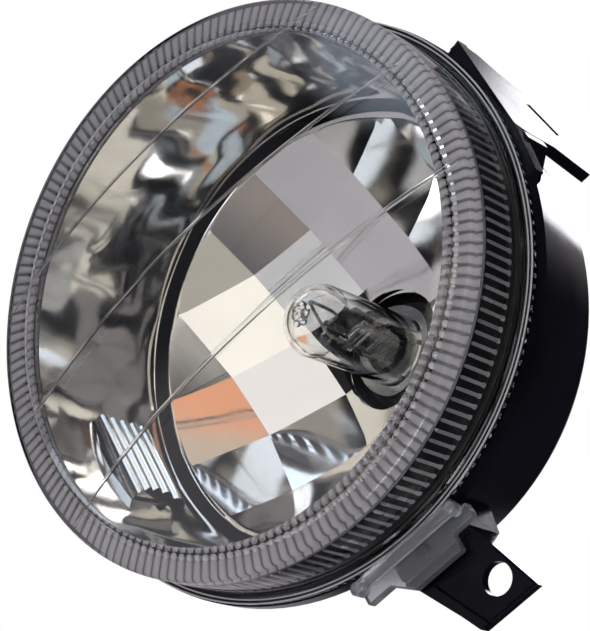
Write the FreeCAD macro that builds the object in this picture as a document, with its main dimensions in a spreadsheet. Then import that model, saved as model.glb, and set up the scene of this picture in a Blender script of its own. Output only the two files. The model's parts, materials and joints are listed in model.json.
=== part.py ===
"""A round automotive fog light with an aimable reflector, built as separate solids.

Frame: +Z up, -Y forward (the way the light shines), +X to the right of a viewer who
faces the lens.  The origin is on the optical axis, in the plane of the front shoulder
of the lens flange.  Millimetres throughout.
"""
import FreeCAD, Part
import os
import Sketcher

V = FreeCAD.Vector
document = FreeCAD.newDocument("FogLight")

# ---------------------------------------------------------------- driving dimensions
SIZES = {
    # lens
    "lens_radius": 50.2,
    "barrel_length": 14.0,
    "lens_corner": 1.0,
    "dome_height": 8.5,
    "lens_wall": 1.5,
    "window_wall": 2.6,
    "window_radius": 44.1,
    "flute_ring_depth": 10.9,
    "flange_radius": 51.8,
    "flange_depth": 1.2,
    "tongue_depth": 3.0,
    # lens clip at the bottom centre
    "clip_half_width": 11.8,
    "clip_top": 53.4,
    "clip_bottom": 56.2,
    "clip_depth": 2.5,
    "clip_lip_left": 3.3,
    "clip_lip_right": 7.2,
    "clip_lip_bottom": 59.4,
    # housing shell
    "rim_radius": 52.0,
    "rim_depth": 3.8,
    "shell_front_radius": 49.4,
    "shell_rear_radius": 44.8,
    "shell_rear": 29.5,
    "shell_wall": 2.2,
    "shoulder_radius": 38.0,
    "shoulder_depth": 37.3,
    "cone_radius": 31.0,
    "cone_depth": 46.0,
    "collar_radius": 21.0,
    "collar_bore": 19.0,
    "collar_front": 47.4,
    "collar_end": 51.0,
    "channel_inner": 47.3,
    "channel_outer": 50.6,
    "channel_floor": 3.5,
    # lower mounting ear
    "ear_front": 3.0,
    "ear_plate": 1.3,
    "ear_tip": 71.2,
    "ear_hole_x": 8.9,
    "ear_hole_z": 66.1,
    "ear_hole_radius": 2.75,
    "ear_gusset_root": 14.0,
    "ear_gusset_tip": 6.8,
    "ear_gusset_wall": 0.75,
    # side bracket
    "side_face": 52.8,
    "side_plate": 2.0,
    "side_end": 23.4,
    "side_slot_width": 1.6,
    # chrome trim
    "trim_front": 10.5,
    "trim_front_radius": 45.2,
    "trim_rear": 18.5,
    "trim_rear_radius": 42.0,
    "trim_wall": 1.1,
    "trim_lip_reach": 1.2,
    "rib_panel_x": 41.0,
    "rib_height": 0.8,
    "rib_width": 1.5,
    "rib_pitch": 3.3,
    "rib_panel_end": 16.8,
    # reflector
    "focal_length": 20.5,
    "vertex_depth": 38.5,
    "mirror_radius": 39.4,
    "mirror_rim_radius": 40.8,
    "mirror_wall": 2.4,
    "bulb_hole_radius": 11.5,
    "neck_radius": 15.0,
    "neck_end": 49.0,
    "bayonet_bore": 10.4,
    "bayonet_chamber": 12.4,
    "bayonet_front": 43.0,
    "bayonet_back": 45.0,
    "bayonet_floor": 39.6,
    "seal_bore": 12.6,
    # tilt hinge and aiming gear
    "hinge_depth": 37.4,
    "hinge_drop": 24.0,
    "pivot_spread": 16.0,
    "pivot_ball": 2.6,
    "pivot_gap": 0.06,
    "post_radius": 3.3,
    "stud_radius": 1.9,
    "pad_radius": 4.4,
    "aim_rise": 34.0,
    "aim_pad_end": 32.2,
    "aim_screw_radius": 2.5,
    "aim_ball": 4.2,
    "aim_gap": 0.1,
    "aim_pad_radius": 6.2,
    "hexagon_radius": 4.5,
    "turret_radius": 10.5,
    "turret_bore": 8.5,
    "turret_end": 52.0,
    "turret_floor": 2.5,
    # bulb
    "glass_radius": 6.7,
    "glass_wall": 0.9,
    "glass_tip": 7.4,
    "glass_end": 38.6,
    "light_centre": 18.0,
    "lead_spacing": 2.3,
    "lead_bore": 0.4,
    "bridge_depth": 11.6,
    "bead_front": 23.0,
    "bead_back": 25.6,
    "pinch_length": 11.0,
    "ferrule_radius": 8.6,
    "flange_seat": 49.2,
    "bulb_flange_radius": 16.5,
    "socket_reach": 27.0,
    "socket_half_width": 9.5,
    "socket_front": 54.0,
    "socket_back": 64.0,
    "socket_wall": 1.6,
    "blade_spacing": 3.2,
    "blade_depth": 57.6,
    "collar_barrel": 10.2,
    "lug_radius": 1.5,
    # breather
    "vent_x": 20.0,
    "vent_z": 22.0,
    "vent_bore": 3.0,
    "vent_tube": 4.5,
    "vent_end": 51.2,
}

sheet = document.addObject("Spreadsheet::Sheet", "Sizes")
for row, (alias, size) in enumerate(SIZES.items(), start=1):
    sheet.set(f"A{row}", alias)
    sheet.set(f"B{row}", str(size))
    sheet.setAlias(f"B{row}", alias)
document.recompute()


def formula(text):
    """Point every size name in a formula at its cell."""
    for alias in sorted(SIZES, key=len, reverse=True):
        text = text.replace(alias, alias.upper())
    for alias in sorted(SIZES, key=len, reverse=True):
        text = text.replace(alias.upper(), f"Sizes.{alias}")
    return text


def value(text):
    """The number a formula stands for now."""
    return float(sheet.evalExpression(formula(str(text))))


# ---------------------------------------------------------------- modelling helpers
def new_body(name):
    body = document.addObject("PartDesign::Body", name)
    body.Label = name
    return body


def origin_plane(body, role):
    return next(item for item in body.Origin.OriginFeatures if item.Role == role)


def attach(sketch, body, plane, offset):
    sketch.AttachmentSupport = [(origin_plane(body, plane), "")]
    sketch.MapMode = "FlatFace"
    if offset != "0":
        sketch.setExpression(".AttachmentOffset.Base.z", formula(offset))


def pin_point(sketch, edge, end, x_text, y_text):
    """Hold one end of an edge at two sheet formulas."""
    for kind, text, axis in (("DistanceX", x_text, -2), ("DistanceY", y_text, -1)):
        if abs(value(text)) < 1e-9:
            sketch.addConstraint(Sketcher.Constraint("PointOnObject", edge, end, axis))
            continue
        pin = Sketcher.Constraint(kind, -1, 1, edge, end, value(text))
        index = sketch.addConstraint(pin)
        sketch.setExpression(f"Constraints[{index}]", formula(text))


def arc_through(start, end, radius):
    """An arc between two points, always stored anticlockwise as sketches need."""
    chord = end - start
    left = V(-chord.y, chord.x, 0).normalize()
    rise = abs(radius) - (radius * radius - chord.Length ** 2 / 4) ** 0.5
    bulge = left * (rise if radius > 0 else -rise)
    middle = (start + end) * 0.5 + bulge
    if radius > 0:
        return Part.Arc(end, middle, start)
    return Part.Arc(start, middle, end)


def outline(body, name, plane, corners, offset="0"):
    """A closed sketch outline.  A corner is (x, y), or (x, y, radius) where the edge that
    leaves it is an arc: a positive radius bulges to the left of the edge's direction."""
    sketch = body.newObject("Sketcher::SketchObject", name)
    attach(sketch, body, plane, offset)
    spots = [V(value(corner[0]), value(corner[1]), 0) for corner in corners]
    ends = []
    for here, corner in enumerate(corners):
        start = spots[here]
        end = spots[(here + 1) % len(spots)]
        radius = value(corner[2]) if len(corner) == 3 else 0
        ends.append((2, 1) if radius > 0 else (1, 2))
        edge = arc_through(start, end, radius) if radius else Part.LineSegment(start, end)
        sketch.addGeometry(edge)
    for here in range(len(corners)):
        after = (here + 1) % len(corners)
        joint = Sketcher.Constraint("Coincident", here, ends[here][1], after, ends[after][0])
        sketch.addConstraint(joint)
    for here, corner in enumerate(corners):
        pin_point(sketch, here, ends[here][0], corner[0], corner[1])
        if len(corner) == 3:
            sign = "" if value(corner[2]) > 0 else "-1 * "
            size = f"{sign}({corner[2]})"
            index = sketch.addConstraint(Sketcher.Constraint("Radius", here, value(size)))
            sketch.setExpression(f"Constraints[{index}]", formula(size))
    return sketch


def circle(body, name, plane, centre, radius, offset="0"):
    sketch = body.newObject("Sketcher::SketchObject", name)
    attach(sketch, body, plane, offset)
    middle = V(value(centre[0]), value(centre[1]), 0)
    sketch.addGeometry(Part.Circle(middle, V(0, 0, 1), value(radius)))
    index = sketch.addConstraint(Sketcher.Constraint("Radius", 0, value(radius)))
    sketch.setExpression(f"Constraints[{index}]", formula(radius))
    pin_point(sketch, 0, 3, centre[0], centre[1])
    return sketch


def spin(body, name, corners, cut=False, angle=360):
    """Turn an outline of (radius, depth) corners round the optical axis, from +X.
    A negative angle turns by way of +Z."""
    sketch = outline(body, name + "Outline", "XY_Plane", corners)
    return spin_sketch(body, name, sketch, cut, angle)


def spin_sketch(body, name, sketch, cut=False, angle=360):
    kind = "PartDesign::Groove" if cut else "PartDesign::Revolution"
    before = volume_of(body)
    feature = body.newObject(kind, name)
    feature.Profile = sketch
    feature.ReferenceAxis = (sketch, ["V_Axis"])
    feature.Angle = abs(angle)
    feature.Reversed = angle < 0
    settle(body, before, cut, name)
    return feature


def volume_of(body):
    return 0.0 if body.Shape.isNull() else body.Shape.Volume


def settle(body, before, cut, name):
    """Recompute, and make sure that the feature really added or removed material."""
    document.recompute()
    change = body.Shape.Volume - before
    if (change >= -1e-6) if cut else (change <= 1e-6):
        raise RuntimeError(f"{body.Label}: {name} changed the volume by {change:.3f}")


def push(body, name, sketch, length, cut=False, back=False):
    """Pad or pocket a sketch.  On XZ_Plane a pad grows towards -Y, or +Y with back."""
    before = volume_of(body)
    feature = body.newObject("PartDesign::Pocket" if cut else "PartDesign::Pad", name)
    feature.Profile = sketch
    feature.setExpression("Length", formula(length))
    feature.Reversed = back
    settle(body, before, cut, name)
    return feature


def rearward(body, name, plane_depth, sketch_maker, length, cut=False):
    """Pad or pocket from a plane at a depth, growing towards the rear (+Y)."""
    sketch = sketch_maker(f"-({plane_depth})")
    return push(body, name, sketch, length, cut=cut, back=not cut)


def rod(body, name, centre, radius, start, end, cut=False):
    """A round rod or bore along Y from one depth to another."""

    def draw(offset):
        return circle(body, name + "Circle", "XZ_Plane", centre, radius, offset)

    return rearward(body, name, start, draw, f"({end}) - ({start})", cut)


def slab(body, name, corners, start, end, cut=False):
    """A prism along Y of an (x, z) outline."""

    def draw(offset):
        return outline(body, name + "Outline", "XZ_Plane", corners, offset)

    return rearward(body, name, start, draw, f"({end}) - ({start})", cut)


def side_slab(body, name, corners, start, end, cut=False):
    """A prism along X of a (y, z) outline, from one x to a larger one."""
    sketch = outline(body, name + "Outline", "YZ_Plane", corners, start)
    return push(body, name, sketch, f"({end}) - ({start})", cut=cut, back=cut)


def box_corners(low_x, low_z, high_x, high_z):
    return [(low_x, low_z), (high_x, low_z), (high_x, high_z), (low_x, high_z)]


# ---------------------------------------------------------------- outer shell
def make_lens():
    """Clear domed lens: window, barrel, flange, and the tongue that sits in the channel."""
    body = new_body("lens")
    rim = "lens_radius - lens_corner"
    inner = "lens_radius - lens_wall"
    front = "-barrel_length - lens_corner"
    apex = f"{front} - dome_height"
    dome = f"(({rim})^2 + dome_height^2) / (2 * dome_height)"
    window_depth = "-barrel_length + 0.1"
    sag = f"({window_depth}) - ({apex} + window_wall)"
    inner_dome = f"(window_radius^2 + ({sag})^2) / (2 * ({sag}))"
    spin(body, "LensShell", [
        ("0", apex, f"-1 * {dome}"),
        (rim, front, "-1 * lens_corner"),
        ("lens_radius", "-barrel_length"),
        ("lens_radius", "0"),
        ("flange_radius", "0"),
        ("flange_radius", "flange_depth"),
        ("lens_radius", "flange_depth"),
        ("lens_radius", "tongue_depth"),
        (f"{inner} + 0.3", "tongue_depth"),
        (f"{inner} + 0.3", "0"),
        (inner, "-1"),
        (inner, "-flute_ring_depth + 1.4"),
        (f"{inner} - 1.2", "-flute_ring_depth"),
        ("window_radius + 0.4", "-flute_ring_depth - 0.2"),
        ("window_radius", window_depth, inner_dome),
        ("0", f"{apex} + window_wall"),
    ])
    slab(body, "ClipWeb", box_corners("-clip_half_width + 2", "-clip_top - 0.5",
                                      "clip_half_width - 2", "-flange_radius + 2.2"),
         "0", "flange_depth")
    slab(body, "ClipBar", box_corners("-clip_half_width", "-clip_bottom",
                                      "clip_half_width", "-clip_top"), "0", "clip_depth")
    slab(body, "ClipLip", [
        ("-clip_lip_left - 3.4", "-clip_bottom + 0.5"), ("-clip_lip_left", "-clip_lip_bottom"),
        ("clip_lip_right", "-clip_lip_bottom"), ("clip_lip_right", "-clip_bottom + 0.5"),
    ], "clip_depth - 1.6", "clip_depth")
    slab(body, "KeyLug", box_corners("48.7", "12.6", "51.6", "15.6"), "0", "flange_depth")
    return body


def make_housing():
    """Black moulded shell with the lens channel, ear, side bracket, turret and nozzle."""
    body = new_body("housing")
    inner_rim = "channel_inner - 0.9"
    spin(body, "Shell", [
        ("rim_radius", "flange_depth + 0.1"),
        ("rim_radius", "rim_depth"),
        ("shell_front_radius + 0.4", "rim_depth + 0.6"),
        ("shell_front_radius", "rim_depth + 1.2"),
        ("shell_rear_radius", "shell_rear", "-22"),
        ("shoulder_radius", "shoulder_depth"),
        ("cone_radius", "cone_depth"),
        ("collar_radius + 1", "collar_front"),
        ("collar_radius", "collar_front"),
        ("collar_radius", "collar_end"),
        ("collar_bore", "collar_end"),
        ("collar_bore", "collar_front - shell_wall"),
        ("cone_radius - 1", "cone_depth - shell_wall - 0.3"),
        ("shoulder_radius - 1.6", "shoulder_depth - shell_wall + 0.2", "20"),
        ("shell_rear_radius - shell_wall", "shell_rear - 0.4"),
        (inner_rim, "channel_floor + 4.5"),
        (inner_rim, "flange_depth + 0.1"),
    ])
    add_pivot_posts(body)
    add_ear(body)
    add_side_bracket(body)
    add_turret_and_vent(body)
    spin(body, "Channel", [
        ("channel_inner", "flange_depth - 1"),
        ("channel_inner", "channel_floor"),
        ("channel_outer", "channel_floor"),
        ("channel_outer", "flange_depth - 1"),
    ], True)
    return body


def add_pivot_posts(body):
    """Blind bosses on the inside of the rear cone, bored for the two ball studs."""
    for side, name in (("-1 * ", "Left"), ("", "Right")):
        centre = (f"{side}pivot_spread", "-hinge_drop")
        rod(body, "PivotPost" + name, centre, "post_radius",
            "hinge_depth + 4", "hinge_depth + 8.6")
        rod(body, "PivotHole" + name, centre, "stud_radius",
            "hinge_depth + 3", "hinge_depth + 7.6", True)


def add_ear(body):
    """The ear leans to the right; flanges stiffen both of its edges."""
    back = "ear_front + ear_plate"
    slab(body, "EarPlate", [
        ("-5.5", "-49"), ("-5.5", "-55.6"), ("2.4", "-ear_tip"),
        ("14.2", "-ear_tip"), ("9.4", "-55.7"), ("9.4", "-48.5"),
    ], "ear_front", back)
    slab(body, "EarPad", [
        ("ear_hole_x - 4.6", "-ear_hole_z + 4.8"), ("ear_hole_x - 4.6", "-ear_hole_z - 4.6"),
        ("ear_hole_x + 4.8", "-ear_hole_z - 4.6"), ("ear_hole_x + 1.9", "-ear_hole_z + 4.8"),
    ], "ear_front - 0.4", "ear_front + 1")
    slab(body, "EarLip", [
        ("-2.65", "-clip_lip_bottom - 0.6"), ("2.4", "-ear_tip"),
        ("4.0", "-ear_tip"), ("-1.05", "-clip_lip_bottom - 0.6"),
    ], "ear_front - 1.0", back)
    add_ear_gusset(body)
    rod(body, "EarHole", ("ear_hole_x", "-ear_hole_z"), "ear_hole_radius",
        "ear_front - 2", f"{back} + 0.05", True)


def add_ear_gusset(body):
    """The right flange: deep at the root, shallow at the tip, following the sloped edge."""
    before = volume_of(body)
    sections = []
    for name, z_text, right, depth in (
        ("Root", "-49", "9.4", "ear_gusset_root"),
        ("Knee", "-55.7", "9.4", "ear_gusset_root - 2.4"),
        ("Heel", "-ear_tip + 1.8", "13.64", "ear_gusset_tip"),
        ("Tip", "-ear_tip", "14.2", "ear_front + ear_plate"),
    ):
        corners = [
            (f"{right} - ear_gusset_wall", "ear_front"),
            (right, "ear_front"),
            (right, depth),
            (f"{right} - ear_gusset_wall", depth),
        ]
        sections.append(outline(body, "Gusset" + name, "XY_Plane", corners, z_text))
    loft = body.newObject("PartDesign::AdditiveLoft", "EarGusset")
    loft.Profile = sections[0]
    loft.Sections = sections[1:]
    loft.Ruled = True
    settle(body, before, False, "EarGusset")


def add_side_bracket(body):
    """A flat tab parallel to the optical axis, with a slot, on the right of the rim."""
    inner = "side_face - side_plate"
    slab(body, "SideFlange", [
        ("49", "13.6"), ("side_face", "14.4"), ("side_face", "-6"),
        ("51.4", "-15.6"), ("48", "-15.6"),
    ], "flange_depth + 0.1", "rim_depth")
    side_slab(body, "SidePlate", [
        ("flange_depth + 0.1", "14.2"), ("6.3", "13.1"), ("10.7", "10.4"), ("17.3", "7.6"),
        ("side_end - 1.2", "4.6"), ("side_end", "2.6"), ("side_end", "-8.6"),
        ("side_end - 1.4", "-9.9"), ("13", "-6.9"), ("5", "-6.9"), ("flange_depth + 0.1", "-6"),
    ], inner, "side_face")
    slab(body, "SideWeb", [
        ("45.5", "-7.2"), ("side_face", "-7.2"), ("side_face", "-8.6"),
        ("48.6", "-12.6"), ("45", "-12.6"),
    ], "rim_depth - 0.5", "rim_depth + 5.5")
    half = "side_slot_width / 2"
    side_slab(body, "SideSlot", [
        (f"14.8 - {half}", "4.2"), (f"14.8 + {half}", "4.8"),
        (f"19.4 + {half}", "-1.0"), (f"19.4 - {half}", "-1.6"),
    ], inner + " - 1", "side_face + 1", True)


def add_turret_and_vent(body):
    """A round turret over the aiming gear and a breather tube, both open to the inside."""
    turret = ("0", "aim_rise")
    vent = ("vent_x", "vent_z")
    rod(body, "Turret", turret, "turret_radius", "shell_rear - 1", "turret_end")
    rod(body, "VentTube", vent, "vent_tube", "shoulder_depth + 3.5", "vent_end")
    spin(body, "InsideTrim", [
        ("12", "shell_rear - 5"),
        ("shell_rear_radius - shell_wall - 0.4", "shell_rear - 5"),
        ("shell_rear_radius - shell_wall - 0.4", "shell_rear - 0.6"),
        ("shoulder_radius - 2.0", "shoulder_depth - shell_wall"),
        ("cone_radius - 1.4", "cone_depth - shell_wall - 0.6"),
        ("12", "cone_depth - shell_wall + 0.6"),
    ], True, -180)
    rod(body, "TurretBore", turret, "turret_bore", "shell_rear - 2",
        "turret_end - turret_floor", True)
    rod(body, "ScrewBore", turret, "aim_screw_radius + 0.05",
        "turret_end - turret_floor - 1", "turret_end + 1", True)
    rod(body, "VentBore", vent, "vent_bore", "shoulder_depth", "vent_end + 1", True)


def make_lens_seal():
    """Sealant bead on the floor of the lens channel."""
    body = new_body("lens_seal")
    spin(body, "Bead", [
        ("channel_inner + 0.05", "tongue_depth + 0.02"),
        ("channel_outer - 0.05", "tongue_depth + 0.02"),
        ("channel_outer - 0.05", "channel_floor - 0.01"),
        ("channel_inner + 0.05", "channel_floor - 0.01"),
    ])
    return body


# ---------------------------------------------------------------- optics
def make_trim():
    """Chromed inner surround, with a ribbed panel on its left wall."""
    body = new_body("trim_bezel")
    side_slab(body, "RibPanel", box_corners("0.6", "-11", "rib_panel_end", "11.5"),
              "-46", "-rib_panel_x")
    outer_front = "trim_front_radius + trim_wall"
    outer_rear = "trim_rear_radius + trim_wall"
    spin(body, "PanelTrimming", [
        (outer_front, "-trim_front"),
        (outer_rear, "trim_rear"),
        ("rim_radius + 8", "trim_rear"),
        ("rim_radius + 8", "-trim_front"),
    ], True)
    for number in range(5):
        start = f"1.2 + {number} * rib_pitch"
        side_slab(body, f"Rib{number}", box_corners(start, "-11", f"{start} + rib_width", "11.5"),
                  "-rib_panel_x - 0.5", "-rib_panel_x + rib_height")
    spin(body, "Wall", [
        ("trim_front_radius", "-trim_front"),
        (f"{outer_front} + trim_lip_reach", "-trim_front"),
        (f"{outer_front} + trim_lip_reach", "-trim_front + 0.9"),
        (outer_front, "-trim_front + 1.4"),
        ("44.9", "0.1"),
        ("channel_inner - 0.1", "0.1"),
        ("channel_inner - 0.1", "flange_depth"),
        ("44.8", "flange_depth"),
        (outer_rear, "trim_rear"),
        ("trim_rear_radius", "trim_rear"),
    ])
    return body


def mirror_depth(radius):
    """Depth of the paraboloid's front face at a radius."""
    return f"(vertex_depth - ({radius})^2 / (4 * focal_length))"


def mirror_curve(radius):
    """The paraboloid's own radius of curvature at a radius."""
    return f"(2 * focal_length * (1 + (({radius}) / (2 * focal_length))^2)^1.5)"


def make_reflector():
    """Metallised bowl with a bulb neck, two pivot pads and an aiming pad."""
    body = new_body("reflector")
    hole = "bulb_hole_radius"
    middle = "26"
    back = "mirror_wall"
    add_reflector_pads(body, middle)
    spin(body, "Bowl", [
        (hole, mirror_depth(hole), "-1 * " + mirror_curve("19.5")),
        (middle, mirror_depth(middle), "-1 * " + mirror_curve("33")),
        ("mirror_radius", mirror_depth("mirror_radius")),
        ("mirror_rim_radius", mirror_depth("mirror_radius")),
        ("mirror_rim_radius", mirror_depth("mirror_radius") + " + 1.8"),
        ("mirror_radius", mirror_depth("mirror_radius") + f" + {back} + 0.4"),
        (middle + " + 0.8", mirror_depth(middle) + f" + {back}"),
        ("neck_radius", mirror_depth("neck_radius") + f" + {back} - 0.2"),
        ("neck_radius", "neck_end"),
        ("seal_bore", "neck_end"),
        ("seal_bore", "bayonet_back"),
        ("bayonet_bore", "bayonet_back"),
        ("bayonet_bore", "bayonet_front"),
        ("bayonet_chamber", "bayonet_front"),
        ("bayonet_chamber", "bayonet_floor"),
        (hole, "bayonet_floor"),
    ])
    add_bayonet_notches(body)
    rod(body, "AimRecess", ("0", "aim_rise"), "3.2", "29.6", "aim_pad_end + 1", True)
    return body


def add_reflector_pads(body, middle):
    """Bosses for the ball sockets, trimmed to end within the thickness of the bowl."""
    for side, name in (("-1 * ", "Left"), ("", "Right")):
        centre = (f"{side}pivot_spread", "-hinge_drop")
        rod(body, "PivotPad" + name, centre, "pad_radius", "24", "hinge_depth - 3.4")
    rod(body, "AimPad", ("0", "aim_rise"), "aim_pad_radius", "20", "aim_pad_end")
    spin(body, "PadTrim", [
        ("8", mirror_depth("8") + " + 1", "-1 * " + mirror_curve("18")),
        (middle, mirror_depth(middle) + " + 1", "-1 * " + mirror_curve("33")),
        ("mirror_radius", mirror_depth("mirror_radius") + " + 1"),
        ("mirror_radius + 3", mirror_depth("mirror_radius") + " + 1"),
        ("mirror_radius + 3", "10"),
        ("8", "10"),
    ], True)


def add_bayonet_notches(body):
    """Three notches let the bulb's lugs through the ring before it is turned."""
    angles = (60, 180, 300)
    for number, angle in enumerate(angles):
        middle_x = f"11.2 * sin({angle})"
        middle_z = f"11.2 * cos({angle})"
        rod(body, f"Notch{number}", (middle_x, middle_z), "2.6",
            "bayonet_front - 0.1", "bayonet_back + 0.1", True)


def make_pivot_stud(name, side):
    """Ball stud pressed into its housing post."""
    body = new_body(name)
    ball = "pivot_ball"
    neck = "1.2"
    sketch = outline(body, "StudOutline", "XY_Plane", [
        ("0", f"-{ball}", "-pivot_ball"),
        (neck, f"({ball}^2 - {neck}^2)^0.5"),
        (neck, "3.2"),
        ("2.3", "3.2"),
        ("2.3", "3.98"),
        ("stud_radius", "3.98"),
        ("stud_radius", "7.5"),
        ("0", "7.5"),
    ])
    spin_sketch(body, "Stud", sketch)
    place_on_hinge(body, side)
    return body


def place_on_hinge(body, side):
    body.setExpression(".Placement.Base.x", formula(f"{side}pivot_spread"))
    body.setExpression(".Placement.Base.y", formula("hinge_depth"))
    body.setExpression(".Placement.Base.z", formula("-hinge_drop"))


def make_pivot_socket(name, side):
    """Nylon cup that snaps over the ball; its foot sits on the reflector's pad."""
    body = new_body(name)
    cup = "(pivot_ball + pivot_gap)"
    mouth = "1.7"
    sketch = outline(body, "CupOutline", "XY_Plane", [
        ("0", "-3.38"),
        ("pad_radius", "-3.38"),
        ("pad_radius", "1.2"),
        ("3.7", mouth),
        (f"({cup}^2 - {mouth}^2)^0.5", mouth, cup),
        ("0", f"-{cup}"),
    ])
    spin_sketch(body, "Cup", sketch)
    place_on_hinge(body, side)
    return body


# ---------------------------------------------------------------- aiming gear
def raise_to_aim(body):
    body.setExpression(".Placement.Base.z", formula("aim_rise"))


def make_aim_screw():
    """Captive adjusting screw: flanged, slotted hexagon head outside, thread inside."""
    body = new_body("aim_screw")
    floor = "turret_end - turret_floor"
    spin(body, "Screw", [
        ("0", "33.3"),
        ("aim_screw_radius - 0.5", "33.3"),
        ("aim_screw_radius", "33.9"),
        ("aim_screw_radius", f"{floor} - 1.0"),
        ("aim_screw_radius - 0.6", f"{floor} - 1.0"),
        ("aim_screw_radius - 0.6", f"{floor} - 0.1"),
        ("aim_screw_radius", f"{floor} - 0.1"),
        ("aim_screw_radius", "turret_end + 0.05"),
        ("5.6", "turret_end + 0.05"),
        ("5.6", "turret_end + 1.1"),
        ("0", "turret_end + 1.1"),
    ])
    hexagon = [(f"hexagon_radius * cos({angle})", f"hexagon_radius * sin({angle})")
               for angle in range(0, 360, 60)]
    slab(body, "Hexagon", hexagon, "turret_end + 1.0", "turret_end + 4.2")
    slab(body, "DriverSlot", box_corners("-3.2", "-0.5", "3.2", "0.5"),
         "turret_end + 2.8", "turret_end + 5", True)
    raise_to_aim(body)
    return body


def make_aim_clip():
    """Retaining ring in the screw's groove, just inside the turret floor."""
    body = new_body("aim_screw_clip")
    floor = "turret_end - turret_floor"
    spin(body, "Ring", [
        ("aim_screw_radius - 0.58", f"{floor} - 0.95"),
        ("4.6", f"{floor} - 0.95"),
        ("4.6", f"{floor} - 0.15"),
        ("aim_screw_radius - 0.58", f"{floor} - 0.15"),
    ])
    slab(body, "Gap", box_corners("0", "-1.3", "6", "1.3"), f"{floor} - 2", f"{floor} + 1", True)
    raise_to_aim(body)
    return body


def make_aim_nut():
    """Nylon ball nut on the screw, kept from turning by two wings."""
    body = new_body("aim_nut")
    bore = "(aim_screw_radius + 0.04)"
    spin(body, "Ball", [
        (bore, f"hinge_depth - (aim_ball^2 - {bore}^2)^0.5", "-1 * aim_ball"),
        (bore, f"hinge_depth + (aim_ball^2 - {bore}^2)^0.5"),
    ])
    for side, low, high in (("Left", "-5.4", "-3"), ("Right", "3", "5.4")):
        slab(body, "Wing" + side, box_corners(low, "-0.8", high, "0.8"),
             "hinge_depth - 0.8", "hinge_depth + 0.8")
    raise_to_aim(body)
    return body


def make_aim_socket():
    """Nylon socket on the reflector's aiming pad, closed round the ball nut."""
    body = new_body("aim_socket")
    cavity = "(aim_ball + aim_gap)"
    mouth = "3.3"
    reach = f"({cavity}^2 - {mouth}^2)^0.5"
    spin(body, "SocketShell", [
        (mouth, "aim_pad_end + 0.02"),
        ("aim_pad_radius", "aim_pad_end + 0.02"),
        ("aim_pad_radius", "hinge_depth + 4.2"),
        (mouth, "hinge_depth + 4.2"),
        (mouth, f"hinge_depth + {reach}", f"{cavity}"),
        (mouth, f"hinge_depth - {reach}"),
    ])
    slab(body, "WingSlots", box_corners("-5.8", "-1.2", "5.8", "1.2"),
         "hinge_depth - 1.3", "hinge_depth + 1.3", True)
    raise_to_aim(body)
    return body


# ---------------------------------------------------------------- bulb
def make_bulb_glass():
    """Clear capsule, open at the base, with its tip-off point at the front."""
    body = new_body("bulb_glass")
    dome_end = "glass_tip + glass_radius * 0.86"
    inner = "(glass_radius - glass_wall)"
    inner_tip = "(glass_tip + glass_wall)"
    sag = "(glass_radius * 0.86)"
    curve = f"((glass_radius^2 + {sag}^2) / (2 * {sag}))"
    inner_sag = f"({dome_end} - {inner_tip})"
    inner_curve = f"(({inner}^2 + {inner_sag}^2) / (2 * {inner_sag}))"
    spin(body, "Capsule", [
        ("0", "glass_tip", f"-1 * {curve}"),
        ("glass_radius", dome_end),
        ("glass_radius", "glass_end - 3"),
        ("glass_radius - 0.6", "glass_end"),
        ("glass_radius - 1.6", "glass_end"),
        (inner, "glass_end - 3"),
        (inner, dome_end, inner_curve),
        ("0", inner_tip),
    ])
    spin(body, "TipOff", [
        ("0", "glass_tip - 1.1"),
        ("0.7", "glass_tip - 0.9"),
        ("1.5", "glass_tip + 0.2"),
        ("1.9", "glass_tip + 0.5"),
        ("0", "glass_tip + 0.5"),
    ])
    return body


def make_bulb_stem():
    """Pinched glass stem that closes the capsule and carries the lead wires."""
    body = new_body("bulb_stem")
    spin(body, "StemFoot", [
        ("0", "glass_end - 2.6"),
        ("glass_radius - 1.75", "glass_end - 2.6"),
        ("glass_radius - 1.75", "glass_end + 2"),
        ("0", "glass_end + 2"),
    ])
    slab(body, "Pinch", box_corners("-3.4", "-1.1", "3.4", "1.1"),
         "glass_end - pinch_length", "glass_end - 2.5")
    for name, side in (("Left", "-1 * "), ("Right", "")):
        rod(body, "WireHole" + name, (f"{side}lead_spacing", "0"), "lead_bore",
            "glass_end - pinch_length - 1", "glass_end + 3", True)
    return body


def make_lead_wires():
    """Two lead wires: a short one, and a long one that returns over the filament's front."""
    body = new_body("bulb_lead_wires")
    wire = "lead_bore - 0.02"
    rod(body, "LongLead", ("-lead_spacing", "0"), wire, "bridge_depth", "glass_end + 1.9")
    rod(body, "ShortLead", ("lead_spacing", "0"), wire,
        "light_centre + 3.6", "glass_end + 1.9")
    side_slab(body, "FrontBridge", box_corners("bridge_depth", "-0.3",
                                               "bridge_depth + 0.7", "0.3"), "-2.4", "0.3")
    side_slab(body, "RearBridge", box_corners("light_centre + 3.6", "-0.3",
                                              "light_centre + 4.3", "0.3"), "-0.3", "2.4")
    rod(body, "FrontHook", ("0", "0"), "0.3", "12", "light_centre - 3.0")
    rod(body, "RearHook", ("0", "0"), "0.3", "light_centre + 3.0", "light_centre + 4")
    return body


def make_filament():
    """Axial coil, as its outer sleeve."""
    body = new_body("bulb_filament")
    spin(body, "Coil", [
        ("0.32", "light_centre - 3.2"),
        ("0.8", "light_centre - 3.2"),
        ("0.8", "light_centre + 3.2"),
        ("0.32", "light_centre + 3.2"),
    ])
    return body


def make_bulb_bead():
    """Glass bead that braces the two lead wires."""
    body = new_body("bulb_bead")
    slab(body, "Bead", box_corners("-3.5", "-1.0", "3.5", "1.0"), "bead_front", "bead_back")
    for name, side in (("Left", "-1 * "), ("Right", "")):
        rod(body, "Hole" + name, (f"{side}lead_spacing", "0"), "lead_bore",
            "bead_front - 1", "bead_back + 1", True)
    return body


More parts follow.
